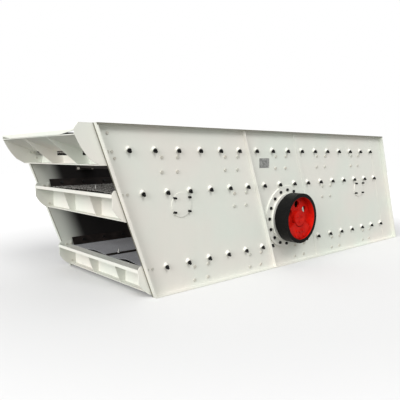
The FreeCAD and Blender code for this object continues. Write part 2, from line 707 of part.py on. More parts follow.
def make_tension_bolts():
    axis, radius = tension_axis(), value("BoltRadius")
    inner = value("RailReach + RailThick / 2")
    seat_at, thick = value("WedgeSeat"), value("NutThick")
    across, head, tail = value("NutAcross"), value("HeadThick"), value("BoltTail")
    bolts, nuts, wedges = [], [], []
    side = Part.makeBox(8 * value("PlateLength"), 1000, 8 * value("PlateHeight"),
                        FreeCAD.Vector(-4 * value("PlateLength"), -value("Outer"), -4 * value("PlateHeight")))
    for seat in all_tension_seats():
        shank = round_bar(radius, -inner - 1, seat_at + thick + tail)
        bolts.append(placed(shank.fuse(hex_bar(across, -inner - head, -inner)).removeSplitter(), seat, axis))
        nuts.append(placed(nut(radius, across, seat_at, seat_at + thick), seat, axis))
        disc = round_bar(value("WedgeRadius"), -seat_at, seat_at)
        disc = disc.cut(round_bar(radius + value("NutClear"), -seat_at - 1, seat_at + 1))
        wedges.append(placed(disc, seat, axis).cut(side))
    for label, solids in (("tension_bolts", bolts), ("tension_nuts", nuts), ("bolt_wedges", wedges)):
        near = node(shaped(label + "_near", solids), "near_" + label)
        node(far_copy(label + "_far", near), "far_" + label)


# ---- end lips ----

def plate_face(spots):
    # A face in the XZ plane through (x, z) spots; three spots in a tuple of their own make an arc.
    edges, last = [], None
    for spot in spots:
        if isinstance(spot[0], tuple):
            start, middle, end = [FreeCAD.Vector(value(x), 0, value(z)) for x, z in spot]
            if last is not None:
                edges.append(Part.makeLine(last, start))
            edges.append(Part.Arc(start, middle, end).toShape())
            last = end
            continue
        here = FreeCAD.Vector(value(spot[0]), 0, value(spot[1]))
        if last is not None:
            edges.append(Part.makeLine(last, here))
        last = here
    first = edges[0].Vertexes[0].Point
    edges.append(Part.makeLine(last, first))
    return Part.Face(Part.Wire(edges))


def slab(spots, low, high):
    # That face, from Y = low to Y = high.
    face = plate_face(spots)
    face.translate(FreeCAD.Vector(0, low, 0))
    return face.extrude(FreeCAD.Vector(0, high - low, 0))


def strip(x_span, z_span, low, high):
    (x0, x1), (z0, z1) = x_span, z_span
    return slab([(x0, z0), (x1, z0), (x1, z1), (x0, z1)], low, high)


def welded(solids):
    whole = solids[0]
    for solid in solids[1:]:
        whole = whole.fuse(solid)
    return whole.removeSplitter()


def cheek_pair(spots):
    inner, metal = value("Inner"), value("LipMetal")
    return [slab(spots, -inner, metal - inner), slab(spots, inner - metal, inner)]


def gusset_pair(spots):
    half, metal = value("GussetSpacing / 2"), value("LipMetal / 2")
    return [slab(spots, y - metal, y + metal) for y in (-half, half)]


def lower_lip(deck, tools):
    name, row = deck.lower(), deck + "Row"
    edge = left_edge(row)
    inside = value("Inner - LipMetal")
    tray, under = f"{row} - LipTray", f"{row} - LipTray - LipMetal"
    gap = f"{edge} + DeckInset - DeckJoint"
    apron, back = f"{edge} + ApronInset", f"{edge} + ApronInset + LipMetal"
    foot, sole = f"{row} - LipDepth", f"{row} - LipDepth - LipMetal"
    front = f"{edge} - LipNose + LipMetal"
    bend = ((front, f"{row} - LipKnee"), (f"{edge} - LipTuck", f"{row} - LipTuckDrop"),
            (f"{edge} + LipHeel", sole))
    cheek = [(back, sole), (back, f"{row} - ApronDrop"), (gap, f"{row} - ApronDrop"),
             (gap, f"{row} + LipCheekTop"), (f"{front} + LipMetal * 3", f"{row} + LipCheekTop"),
             (front, f"{row} + LipCheekTop - LipMetal * 3"), bend]
    pieces = cheek_pair(cheek)
    pieces.append(strip((front, gap), (under, tray), -inside, inside))
    inner = value("Inner")
    pieces.append(strip((f"{edge} - LipNose", front), (under, f"{under} + LipFront"), -inner, inner))
    pieces.append(strip((apron, back), (sole, f"{row} - ApronDrop"), -inside, inside))
    pieces.append(strip((f"{apron} - LipFlange", apron), (sole, foot), -inside, inside))
    shell = shaped(name + "_lip_blank", [welded(pieces)])
    node(cut(name + "_lip", shell, both_sides(name + "_lip_holes", tools["lip"])), name + "_lip_shell")
    web = [(f"{edge} + GussetTop", under), (f"{edge} + GussetFoot", foot), (apron, foot),
           (apron, f"{row} - ApronDrop"), (gap, f"{row} - ApronDrop"), (gap, under)]
    node(shaped(name + "_gussets", gusset_pair(web)), name + "_lip_gussets")


def feed_box(tools):
    row = "TopRow"
    edge = left_edge(row)
    inside = value("Inner - LipMetal")
    gap = f"{edge} + DeckInset - DeckJoint"
    apron, back = f"{edge} + TopApronInset", f"{edge} + TopApronInset + LipMetal"
    foot, sole = f"{row} - TopLipDepth", f"{row} - TopLipDepth - LipMetal"
    front = "NoseX + LipMetal"
    shelf = f"{row} - ApronDrop"
    chin = ((f"{front} + ChinIn", f"{row} + ChinUp"), (f"{front} + JawIn", row),
            (f"{front} + ThroatIn", f"{row} - ThroatDrop"))
    cheek = [(back, sole), (back, shelf), (gap, shelf), (gap, "PlateHeight"),
             (f"{front} + NoseChamfer", "PlateHeight"), (front, "PlateHeight - NoseChamferDrop"),
             (front, f"{row} + FloorRise"), chin, (f"{front} + SkirtIn", sole)]
    slope = f"((FloorRise - FloorRest) / ({gap} - ({front})))"
    floor = [(front, f"{row} + FloorRise"), (gap, f"{row} + FloorRest"),
             (gap, f"{row} + FloorRest - LipMetal"), (front, f"{row} + FloorRise - LipMetal")]
    pieces = cheek_pair(cheek)
    pieces.append(slab(floor, -inside, inside))
    pieces.append(strip((apron, back), (sole, shelf), -inside, inside))
    pieces.append(strip((f"{apron} - TopLipFlange", apron), (sole, foot), -inside, inside))
    shell = shaped("top_lip_blank", [welded(pieces)])
    node(cut("top_lip", shell, both_sides("top_lip_holes", tools["lip"])), "top_lip_shell")
    under = f"{row} + FloorRise - LipMetal"
    waist = f"{front} + TopGussetWaist"
    web = [(f"{front} + LipMetal", f"{under} - LipMetal * {slope}"), (waist, f"{row} + TopGussetWaistUp"),
           (f"{edge} + TopGussetFoot", foot), (apron, foot), (apron, shelf), (gap, shelf),
           (gap, f"{row} + FloorRest - LipMetal")]
    node(shaped("top_gussets", gusset_pair(web)), "top_lip_gussets")
    node(shaped("nose", [nose_strip()]), "top_lip_strip")


def nose_strip():
    # Bent strip across the feed box's nose: a chamfer, then an upright part with mitred corners.
    inner = value("Inner")
    knee, metal = value("PlateHeight - NoseChamferDrop"), value("LipMetal")
    x, back = value("NoseX"), value("NoseX + NoseChamfer")
    slope = [(x, knee), (back, value("PlateHeight")), (back + metal, value("PlateHeight")),
             (x + metal, knee)]
    low, side = knee - value("NoseStrip"), knee - value("NoseMitreDrop")
    mitre = inner - value("NoseMitre")
    rim = [(-inner, knee), (inner, knee), (inner, side), (mitre, low), (-mitre, low), (-inner, side)]
    ring = [FreeCAD.Vector(x, y, z) for y, z in rim + rim[:1]]
    upright = Part.Face(Part.makePolygon(ring)).extrude(FreeCAD.Vector(metal, 0, 0))
    return slab(slope, -inner, inner).fuse(upright).removeSplitter()


def discharge_lips():
    lips = []
    for deck in DECKS:
        row = deck + "Row"
        start = f"{deck_start(deck)} + DeckLength + DeckJoint"
        end = f"{left_edge(row)} + PlateLength - EndGap"
        top, under = f"{row} - LipTray", f"{row} - LipTray - LipMetal"
        corners = [(start, top), (end, top), (end, f"{top} - EndFlange"), (f"{end} - LipMetal", f"{top} - EndFlange"),
                   (f"{end} - LipMetal", under), (start, under)]
        lips.append(padded(deck.lower() + "_end_lip", "XZ_Plane", [corners], "InnerWidth", "0"))
    node(group("end_lips", lips), "discharge_lips")


def make_lip_bolts():
    radius, across, head = value("SmallBoltRadius"), value("SmallHeadAcross"), value("SmallHeadThick")
    grip = value("PlateThick + LipMetal")
    bolts = []
    for seat in lip_seats():
        bolts.append(placed(headed_bolt(radius, across, head, grip + head), seat, OUTWARD))
        bolts.append(placed(nut(radius, across, -grip - head, -grip), seat, OUTWARD))
    node(both_sides("lip_bolts", shaped("lip_bolts_near", bolts)), "lip_bolts")


# ---- exciter, fixed pieces ----

def pair_of(name, near):
    node(near, "near_" + name)
    node(far_copy(name + "_far", near), "far_" + name)


def make_exciter(tools):
    tube = turned("tube", [("-Outer", "TubeRadius - TubeWall"), ("-Outer", "TubeRadius"),
                           ("Outer", "TubeRadius"), ("Outer", "TubeRadius - TubeWall")])
    node(tube, "exciter_tube")
    ring = turned("ring", [("-Outer", "HousingRadius"), ("-Outer", "RingRadius"),
                           ("-(Outer + RingThick)", "RingRadius"), ("-(Outer + RingThick)", "BossRadius"),
                           ("-BossFace", "BossRadius"), ("-BossFace", "HousingRadius")])
    holes = group("ring_holes", [tools["ring"], tools["housing"]])
    pair_of("tube_flange", cut("ring_near", ring, holes))
    lip = "BearingIn - HousingLip"
    housing = turned("housing", [
        ("-HousingFace", "BearingRadius"), ("-HousingFace", "HousingFlange"), ("-BossFace", "HousingFlange"),
        ("-BossFace", "HousingRadius"), (f"-({lip})", "HousingRadius"), (f"-({lip})", "OuterRace"),
        ("-BearingIn", "OuterRace"), ("-BearingIn", "BearingRadius")])
    pair_of("bearing_housing", cut("housing_near", housing, tools["housing"]))
    spigot = "BearingRadius - CoverClear"
    cover = turned("cover", [
        ("-CoverFace", "BearingBore + SealGap"), ("-CoverFace", "CoverRadius"), ("-HousingFace", "CoverRadius"),
        ("-HousingFace", spigot), ("-BearingOut", spigot), ("-BearingOut", f"{spigot} - CoverSpigotWall"),
        ("-HousingFace", f"{spigot} - CoverSpigotWall"), ("-HousingFace", "BearingBore + SealGap")])
    node(both_sides("covers", cover), "bearing_covers")
    race = turned("outer_ring", [("-BearingOut", "OuterRace"), ("-BearingOut", "BearingRadius"),
                                 ("-BearingIn", "BearingRadius"), ("-BearingIn", "OuterRace")])
    node(both_sides("outer_rings", race), "bearing_outer_rings")
    make_exciter_bolts()


def make_exciter_bolts():
    radius, grip = value("BoltRadius"), value("RingThick + PlateThick")
    across, head = value("NutAcross"), value("HeadThick")
    bolts = [placed(headed_bolt(radius, across, head, grip), seat, OUTWARD) for seat in ring_seats()]
    node(both_sides("ring_bolts", shaped("ring_bolts_near", bolts)), "tube_flange_bolts")
    radius, across = value("BeamBoltRadius"), value("BeamHeadAcross")
    head, grip = value("BeamHeadThick"), value("HousingThick + BossThick + RingThick")
    bolts = [placed(headed_bolt(radius, across, head, grip), seat, OUTWARD) for seat in housing_seats()]
    node(both_sides("housing_bolts", shaped("housing_bolts_near", bolts)), "housing_bolts")


# ---- exciter, turning pieces ----

def weight_bolt_spots():
    step = value("WeightBoltStep")
    return [(value(radius), math.radians(-90 + i * step))
            for radius in ("WeightBoltInner", "WeightBoltOuter") for i in (-1, 0, 1)]


def axis_spot(radius, angle, face):
    return FreeCAD.Vector(value("ExciterAt") + radius * math.cos(angle), -face,
                          value("ExciterZ") + radius * math.sin(angle))


def web_holes():
    count, first = int(value("WebHoleCount")), value("WebHoleAngle")
    circle, radius = value("WebHoleCircle"), value("WebHoleRadius")
    face, depth = value("WebFace"), value("WebThick")
    angles = [math.radians(first + 60 * i) for i in range(count)]
    holes = [placed(round_bar(radius, -depth - 1, 1), axis_spot(circle, a, face), OUTWARD) for a in angles]
    small = value("BeamBoltRadius + HoleClear")
    for circle, angle in weight_bolt_spots():
        holes.append(placed(round_bar(small, -depth - 1, value("WeightThick") + 1),
                            axis_spot(circle, angle, face), OUTWARD))
    return shaped("web_holes", holes)


def weight():
    face, thick, half = value("WebFace"), value("WeightThick"), value("WeightHalf")
    centre = FreeCAD.Vector(value("ExciterAt"), -face - thick, value("ExciterZ"))
    sector = Part.makeCylinder(value("WeightOuter"), thick, FreeCAD.Vector(), FreeCAD.Vector(0, 0, 1), 2 * half)
    sector = sector.cut(Part.makeCylinder(value("WeightInner"), thick))
    spin = FreeCAD.Rotation(FreeCAD.Vector(0, 0, 1), 90 - half)
    sector.Placement = FreeCAD.Placement(centre, ALONG_Y.multiply(spin))
    return shaped("weight_blank", [sector])


def make_rotor():
    end = "HubFace - CapDepth / 12"
    shaft = turned("shaft", [
        (f"-({end})", "0"), (f"-({end})", "ShaftEnd"), ("-HubBack", "ShaftEnd"), ("-HubBack", "BearingBore"),
        ("-BearingIn", "BearingBore"), ("-BearingIn", "ShaftMiddle"), ("BearingIn", "ShaftMiddle"),
        ("BearingIn", "BearingBore"), ("HubBack", "BearingBore"), ("HubBack", "ShaftEnd"),
        (f"{end}", "ShaftEnd"), (f"{end}", "0")])
    node(shaft, "exciter_shaft")
    race = turned("inner_ring", [("-BearingOut", "BearingBore"), ("-BearingOut", "InnerRace"),
                                 ("-BearingIn", "InnerRace"), ("-BearingIn", "BearingBore")])
    node(both_sides("inner_rings", race), "bearing_inner_rings")
    back = "WheelFront - WheelWidth"
    wheel = turned("wheel", [
        ("-HubFace", "ShaftEnd"), ("-HubFace", "HubRadius"), ("-WebFace", "HubRadius"), ("-WebFace", "RimInner"),
        ("-WheelFront", "RimInner"), ("-WheelFront", "WheelRadius"), (f"-({back})", "WheelRadius"),
        (f"-({back})", "RimInner"), ("-(WebFace - WebThick)", "RimInner"),
        ("-(WebFace - WebThick)", "HubRadius"), ("-HubBack", "HubRadius"), ("-HubBack", "ShaftEnd")])
    holes = web_holes()
    pair_of("belt_wheel", cut("wheel_near", wheel, holes))
    node(both_sides("weights", cut("weight_near", weight(), holes)), "eccentric_weights")
    cap = turned("cap", [("-HubFace", "0"), ("-HubFace", "CapRadius"),
                         ("-(HubFace + CapDepth)", "CapRadius"), ("-(HubFace + CapDepth)", "0")])
    node(both_sides("hub_caps", cap), "hub_caps")
    make_rotor_bolts()


def make_rotor_bolts():
    radius, across, head = value("BeamBoltRadius"), value("BeamHeadAcross"), value("BeamHeadThick")
    grip, face = value("WebThick + WeightThick"), value("WebFace + WeightThick")
    bolts = []
    for circle, angle in weight_bolt_spots():
        seat = axis_spot(circle, angle, face)
        bolts.append(placed(headed_bolt(radius, across, head, grip + head), seat, OUTWARD))
        bolts.append(placed(nut(radius, across, -grip - head, -grip), seat, OUTWARD))
    across, head = value("SmallHeadAcross"), value("SmallHeadThick")
    face = value("HubFace + CapDepth")
    for i in range(3):
        seat = axis_spot(value("CapBoltCircle"), math.radians(30 + 120 * i), face)
        bolts.append(placed(hex_bar(across, 0, head), seat, OUTWARD))
    node(both_sides("rotor_bolts", shaped("rotor_bolts_near", bolts)), "rotor_bolts")


def make_rollers():
    # Rollers between the rings, held by a cage ring at each end.
    middle = value("(BearingIn + BearingOut) / 2")
    half = value("RollerLength / 2")
    circle = value("(InnerRace + OuterRace) / 2")
    radius = value("(OuterRace - InnerRace) / 2 - RaceClear")
    thick, gap = value("CageThick"), value("CageClear")
    low, high = value("InnerRace") + gap, value("OuterRace") - gap
    count = int(value("RollerCount"))
    solids = [placed(round_bar(radius, -half, half), axis_spot(circle, 2 * math.pi * i / count, middle), OUTWARD)
              for i in range(count)]
    for side in (-half - thick, half):
        ring = round_bar(high, side, side + thick).cut(round_bar(low, side - 1, side + thick + 1))
        solids.append(placed(ring, axis_spot(0, 0, middle), OUTWARD))
    pair_of("bearing_rollers", shaped("rollers_near", solids))


# ---- assembly and files ----

def check():
    faults = [f"{item.Label}: {item.State}" for item in DOC.Objects
              if "Invalid" in item.State or "Error" in item.State]
    for item in NODES:
        shape = item.Shape
        if shape.isNull() or not shape.isValid() or not shape.Solids:
            faults.append(f"{item.Label}: bad shape")
    if faults:
        raise RuntimeError("; ".join(faults))


def main():
    tools = make_bores()
    make_sides(tools)
    make_cross_members(tools)
    make_member_bolts()
    make_decks(tools)
    make_tension_bolts()
    feed_box(tools)
    lower_lip("Middle", tools)
    lower_lip("Bottom", tools)
    discharge_lips()
    make_lip_bolts()
    make_exciter(tools)
    make_rotor()
    make_rollers()
    DOC.recompute()
    check()
    os.makedirs("parts", exist_ok=True)
    for item in NODES:
        item.Shape.exportStep(f"parts/{item.Label}.step")
    print(len(NODES), "nodes")


main()
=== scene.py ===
import json
import math

import bpy
import numpy as np
from mathutils import Matrix, Vector


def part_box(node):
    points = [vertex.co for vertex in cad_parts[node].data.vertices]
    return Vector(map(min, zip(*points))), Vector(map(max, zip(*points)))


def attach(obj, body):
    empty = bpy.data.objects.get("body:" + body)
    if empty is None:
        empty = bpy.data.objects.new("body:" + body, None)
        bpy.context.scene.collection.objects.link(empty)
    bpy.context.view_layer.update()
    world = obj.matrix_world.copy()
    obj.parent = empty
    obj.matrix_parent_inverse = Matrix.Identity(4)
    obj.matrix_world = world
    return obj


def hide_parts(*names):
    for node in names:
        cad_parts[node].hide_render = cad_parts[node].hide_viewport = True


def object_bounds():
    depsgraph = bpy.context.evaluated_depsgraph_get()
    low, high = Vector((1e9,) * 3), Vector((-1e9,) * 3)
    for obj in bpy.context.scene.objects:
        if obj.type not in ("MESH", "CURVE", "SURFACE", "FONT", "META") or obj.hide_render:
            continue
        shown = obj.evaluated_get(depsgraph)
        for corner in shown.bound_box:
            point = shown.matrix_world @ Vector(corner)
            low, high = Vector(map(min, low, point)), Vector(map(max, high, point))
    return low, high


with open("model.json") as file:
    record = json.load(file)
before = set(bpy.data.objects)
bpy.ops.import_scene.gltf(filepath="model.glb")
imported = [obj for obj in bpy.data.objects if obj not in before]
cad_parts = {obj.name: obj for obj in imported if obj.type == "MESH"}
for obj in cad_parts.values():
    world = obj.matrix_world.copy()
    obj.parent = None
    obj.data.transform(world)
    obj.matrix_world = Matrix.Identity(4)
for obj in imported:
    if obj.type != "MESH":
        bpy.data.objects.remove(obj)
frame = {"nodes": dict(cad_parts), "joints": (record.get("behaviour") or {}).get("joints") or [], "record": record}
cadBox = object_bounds()
nodes = frame["nodes"]
print("frame loaded,", len(nodes), "nodes")

mm = 0.001
axisPoint = Vector(next(j for j in frame["joints"] if j["name"] == "exciter_spin")["pos_m"])
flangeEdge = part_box("far_edge_flanges")[1].y

# the leaning edge of the side plates is at x = -foot - lean * z
plateEdge = {"foot": 2.174, "lean": 0.36411, "inner": 0.9, "outer": 0.91}


def linear(hexColour):
    # sRGB hex to the linear values that shaders take
    parts = [int(hexColour[i:i + 2], 16) / 255 for i in (1, 3, 5)]
    return tuple(p / 12.92 if p <= 0.04045 else ((p + 0.055) / 1.055) ** 2.4 for p in parts) + (1.0,)


def addNode(tree, kind, settings=None, inputs=None, out=0):
    # settings are the node's own; inputs are sockets to link, or numbers and hex colours to set
    node = tree.nodes.new(kind)
    for name, setting in (settings or {}).items():
        setattr(node, name, setting)
    for name, value in (inputs or {}).items():
        if isinstance(value, bpy.types.NodeSocket):
            tree.links.new(value, node.inputs[name])
        else:
            node.inputs[name].default_value = linear(value) if isinstance(value, str) else value
    return node.outputs[out] if node.outputs else None


def newMaterial(name):
    material = bpy.data.materials.new(name)
    material.use_nodes = True
    material.node_tree.nodes.clear()
    return material, material.node_tree


bodyPaintLook = {
    "warm": "#dddad2",
    "cool": "#d8dcd3",
    "blotch": 0.75,          # width of the broad tint patches, metres
    "dust": "#b9b4a6",
    "dustAmount": 0.12,
    "rough": (0.42, 0.58),
    "peel": 6 * mm,          # orange peel, drawn 3 times its real width so that it shows
}

shadedPlateLook = dict(bodyPaintLook, **{
    "insideShade": "#120f0e",     # painted shade on the inner faces, near black
    "edge": "#6e6c5f",       # painted shadow line along the leaning edge and the top flange
    "fade": (0.03, 0.36),    # how far behind the leaning edge the painted shade sets in
    "skin": (0.8 * mm, 0.4 * mm),    # what counts as the inner face, from the inside width outwards
    "edgeWidth": 10 * mm,    # of flange beside the plate that gets the painted shadow line
    "edgeSkin": 3 * mm,
    "rimSkin": 1.5 * mm,
    "rimFrom": 1.70,         # the top flange only
})

# beam enamel darkened to dark brown-grey as painted shade inside the box, with real dust runs and specks on top
shadedBeamPaintLook = {
    "warm": "#3a3430",
    "cool": "#2b2928",
    "blotch": 0.3,
    "dust": "#5e5850",
    "dustAmount": 0.35,
    "rough": (0.6, 0.85),
    "peel": 6 * mm,
}

boltPaintLook = {
    "warm": "#c3beb3",
    "cool": "#bbbcb2",
    "blotch": 0.2,
    "dust": "#8d887c",
    "dustAmount": 0.35,
    "rough": (0.42, 0.6),
    "peel": 5 * mm,
}

wedgePaintLook = {
    "warm": "#e2dfd8",
    "cool": "#dcded5",
    "blotch": 0.3,
    "dust": "#a7a294",
    "dustAmount": 0.15,
    "rough": (0.4, 0.55),
    "peel": 5 * mm,
}


sprayGun = {
    "patchEdges": (0.35, 0.65),
    "runsPerMetre": 6.0,     # dust runs, drawn out downwards by runStretch
    "runStretch": (1.0, 1.0, 0.3),
    "runEdges": (0.45, 0.8),
    "specksPerMetre": 80.0,
    "speckEdges": (0.35, 0.7),
    "peelDepth": 0.05 * mm,
    "gloss": 0.35,
}


def sprayedEnamel(name, look):
    # Alkyd enamel sprayed on plate: satin, with broad faint tint patches, thin dust and orange peel
    material, tree = newMaterial(name)
    here = addNode(tree, "ShaderNodeTexCoord", out="Object")
    patches = addNode(tree, "ShaderNodeTexNoise", None,
                      {"Vector": here, "Scale": 1 / look["blotch"], "Detail": 2.0})
    low, high = sprayGun["patchEdges"]
    patches = addNode(tree, "ShaderNodeMapRange", None, {"Value": patches, "From Min": low, "From Max": high})
    colour = addNode(tree, "ShaderNodeMix", {"data_type": "RGBA"},
                     {0: patches, 6: look["warm"], 7: look["cool"]}, 2)
    tall = addNode(tree, "ShaderNodeMapping", None, {"Vector": here, "Scale": sprayGun["runStretch"]})
    runs = addNode(tree, "ShaderNodeTexNoise", None,
                   {"Vector": tall, "Scale": sprayGun["runsPerMetre"], "Detail": 5.0, "Roughness": 0.6})
    speck = addNode(tree, "ShaderNodeTexNoise", None,
                    {"Vector": here, "Scale": sprayGun["specksPerMetre"], "Detail": 2.0})
    low, high = sprayGun["runEdges"]
    runs = addNode(tree, "ShaderNodeMapRange", None, {"Value": runs, "From Min": low, "From Max": high})
    low, high = sprayGun["speckEdges"]
    speck = addNode(tree, "ShaderNodeMapRange", None,
                    {"Value": speck, "From Min": low, "From Max": high, "To Max": look["dustAmount"]})
    dirt = addNode(tree, "ShaderNodeMath", {"operation": "MULTIPLY"}, {0: runs, 1: speck})
    colour = addNode(tree, "ShaderNodeMix", {"data_type": "RGBA"}, {0: dirt, 6: colour, 7: look["dust"]}, 2)
    rough = addNode(tree, "ShaderNodeMapRange", None,
                    {"Value": runs, "To Min": look["rough"][0], "To Max": look["rough"][1]})
    # painted shade inside the plates: the inner faces darken to near black the further they lie behind the leaning
    # edge
    if "insideShade" in look:
        x, y, z = (addNode(tree, "ShaderNodeSeparateXYZ", None, {0: here}, out) for out in "XYZ")
        away = addNode(tree, "ShaderNodeMath", {"operation": "ABSOLUTE"}, {0: y})
        behind = addNode(tree, "ShaderNodeMath", {"operation": "MULTIPLY_ADD"},
                         {0: z, 1: plateEdge["lean"], 2: plateEdge["foot"]})
        behind = addNode(tree, "ShaderNodeMath", {"operation": "ADD"}, {0: behind, 1: x})
        inside = addNode(tree, "ShaderNodeMapRange", None,
                         {"Value": away, "From Min": plateEdge["inner"] + look["skin"][0],
                          "From Max": plateEdge["inner"] + look["skin"][1]})
        depth = addNode(tree, "ShaderNodeMapRange", {"interpolation_type": "SMOOTHSTEP"},
                        {"Value": behind, "From Min": look["fade"][0], "From Max": look["fade"][1]})
        insideShade = addNode(tree, "ShaderNodeMath", {"operation": "MULTIPLY"}, {0: inside, 1: depth})
        colour = addNode(tree, "ShaderNodeMix", {"data_type": "RGBA"},
                         {0: insideShade, 6: colour, 7: look["insideShade"]}, 2)
        rough = addNode(tree, "ShaderNodeMath", {"operation": "MAXIMUM"}, {0: rough, 1: insideShade})
        # painted shadow line over the leaning edge and 10 mm of flange, and along the front edge of the top flange
        front = addNode(tree, "ShaderNodeMath", {"operation": "LESS_THAN"},
                        {0: behind, 1: look["edgeSkin"]})
        narrow = addNode(tree, "ShaderNodeMath", {"operation": "LESS_THAN"},
                         {0: away, 1: plateEdge["outer"] + look["edgeWidth"]})
        front = addNode(tree, "ShaderNodeMath", {"operation": "MULTIPLY"}, {0: front, 1: narrow})
        rim = addNode(tree, "ShaderNodeMath", {"operation": "GREATER_THAN"},
                      {0: away, 1: flangeEdge - look["rimSkin"]})
        upper = addNode(tree, "ShaderNodeMath", {"operation": "GREATER_THAN"}, {0: z, 1: look["rimFrom"]})
        rim = addNode(tree, "ShaderNodeMath", {"operation": "MULTIPLY"}, {0: rim, 1: upper})
        shadowLine = addNode(tree, "ShaderNodeMath", {"operation": "MAXIMUM"}, {0: front, 1: rim})
        colour = addNode(tree, "ShaderNodeMix", {"data_type": "RGBA"},
                         {0: shadowLine, 6: colour, 7: look["edge"]}, 2)
    peel = addNode(tree, "ShaderNodeTexNoise", None,
                   {"Vector": here, "Scale": 1 / look["peel"], "Detail": 1.0})
    normal = addNode(tree, "ShaderNodeBump", None, {"Height": peel, "Distance": sprayGun["peelDepth"]})
    shader = addNode(tree, "ShaderNodeBsdfPrincipled", None,
                     {"Base Color": colour, "Roughness": rough, "Normal": normal, "IOR": 1.5,
                      "Specular IOR Level": sprayGun["gloss"]})
    addNode(tree, "ShaderNodeOutputMaterial", None, {"Surface": shader})
    return material


blackLook = {"deep": "#050505", "worn": "#141413", "rough": (0.4, 0.6), "blotch": 0.05}
primerLook = {"deep": "#14100e", "worn": "#2a2320", "rough": (0.6, 0.85), "blotch": 0.08}
rubberLook = {"deep": "#131313", "worn": "#2f2d2a", "rough": (0.7, 0.9), "blotch": 0.06}


darkGloss = 0.15             # low, as on a thick matt coat


def darkCoat(name, look, grain, deep):
    # Black enamel, matt primer or extruded rubber: near-black, greyer where it is thin or dusty
    material, tree = newMaterial(name)
    here = addNode(tree, "ShaderNodeTexCoord", out="Object")
    wear = addNode(tree, "ShaderNodeTexNoise", None,
                   {"Vector": here, "Scale": 1 / look["blotch"], "Detail": 4.0})
    wear = addNode(tree, "ShaderNodeMapRange", None, {"Value": wear, "From Min": 0.42, "From Max": 0.75})
    colour = addNode(tree, "ShaderNodeMix", {"data_type": "RGBA"},
                     {0: wear, 6: look["deep"], 7: look["worn"]}, 2)
    rough = addNode(tree, "ShaderNodeMapRange", None,
                    {"Value": wear, "To Min": look["rough"][0], "To Max": look["rough"][1]})
    pits = addNode(tree, "ShaderNodeTexNoise", None, {"Vector": here, "Scale": 1 / grain, "Detail": 2.0})
    normal = addNode(tree, "ShaderNodeBump", None, {"Height": pits, "Distance": deep})
    shader = addNode(tree, "ShaderNodeBsdfPrincipled", None,
                     {"Base Color": colour, "Roughness": rough, "Normal": normal, "IOR": 1.5,
                      "Specular IOR Level": darkGloss})
    addNode(tree, "ShaderNodeOutputMaterial", None, {"Surface": shader})
    return material


wheelLook = {
    "red": "#c9190d",
    "deepRed": "#a80f08",
    "black": "#050505",
    "redOut": 268.5 * mm,    # the red ends at the inside of the rim
    "rough": (0.38, 0.5),
    "patchesPerMetre": 11.0,
    "sandPerMetre": 200.0,   # sand-cast grain, drawn about 5 times its real width
    "sandDepth": 0.05 * mm,
}


def wheelEnamel(name, look):
    # Enamel on cast iron: red on the web, hub and inside of the rim, black on the rim itself
    material, tree = newMaterial(name)
    here = addNode(tree, "ShaderNodeTexCoord", out="Object")
    flat = addNode(tree, "ShaderNodeVectorMath", {"operation": "SUBTRACT"}, {0: here, 1: tuple(axisPoint)})
    flat = addNode(tree, "ShaderNodeVectorMath", {"operation": "MULTIPLY"}, {0: flat, 1: (1, 0, 1)})
    radius = addNode(tree, "ShaderNodeVectorMath", {"operation": "LENGTH"}, {0: flat}, "Value")
    outside = addNode(tree, "ShaderNodeMath", {"operation": "GREATER_THAN"}, {0: radius, 1: look["redOut"]})
    patches = addNode(tree, "ShaderNodeTexNoise", None,
                      {"Vector": here, "Scale": look["patchesPerMetre"], "Detail": 3.0})
    patches = addNode(tree, "ShaderNodeMapRange", None,
                      {"Value": patches, "From Min": 0.35, "From Max": 0.7})
    red = addNode(tree, "ShaderNodeMix", {"data_type": "RGBA"},
                  {0: patches, 6: look["red"], 7: look["deepRed"]}, 2)
    colour = addNode(tree, "ShaderNodeMix", {"data_type": "RGBA"},
                     {0: outside, 6: red, 7: look["black"]}, 2)
    rough = addNode(tree, "ShaderNodeMapRange", None,
                    {"Value": patches, "To Min": look["rough"][0], "To Max": look["rough"][1]})
    sand = addNode(tree, "ShaderNodeTexNoise", None,
                   {"Vector": here, "Scale": look["sandPerMetre"], "Detail": 1.0})
    normal = addNode(tree, "ShaderNodeBump", None, {"Height": sand, "Distance": look["sandDepth"]})
    shader = addNode(tree, "ShaderNodeBsdfPrincipled", None,
                     {"Base Color": colour, "Roughness": rough, "Normal": normal, "IOR": 1.5,
                      "Specular IOR Level": darkGloss})
    addNode(tree, "ShaderNodeOutputMaterial", None, {"Surface": shader})
    return material


wireLook = {"bright": "#b6b4b0", "dull": "#4c4844", "rough": (0.32, 0.6)}
blackOxideLook = {"bright": "#101011", "dull": "#050505", "rough": (0.35, 0.6)}
zincLook = {"bright": "#d8d8d4", "dull": "#9b9b95", "rough": (0.3, 0.5)}
groundSteelLook = {"bright": "#c4c4c2", "dull": "#8e8e8c", "rough": (0.15, 0.3)}
nameplateLook = {"bright": "#a3a4a1", "dull": "#7e7f7d", "rough": (0.4, 0.6)}


steelTarnish = {"patchesPerMetre": 33.0, "patchEdges": (0.35, 0.65), "grainDepth": 0.05 * mm}


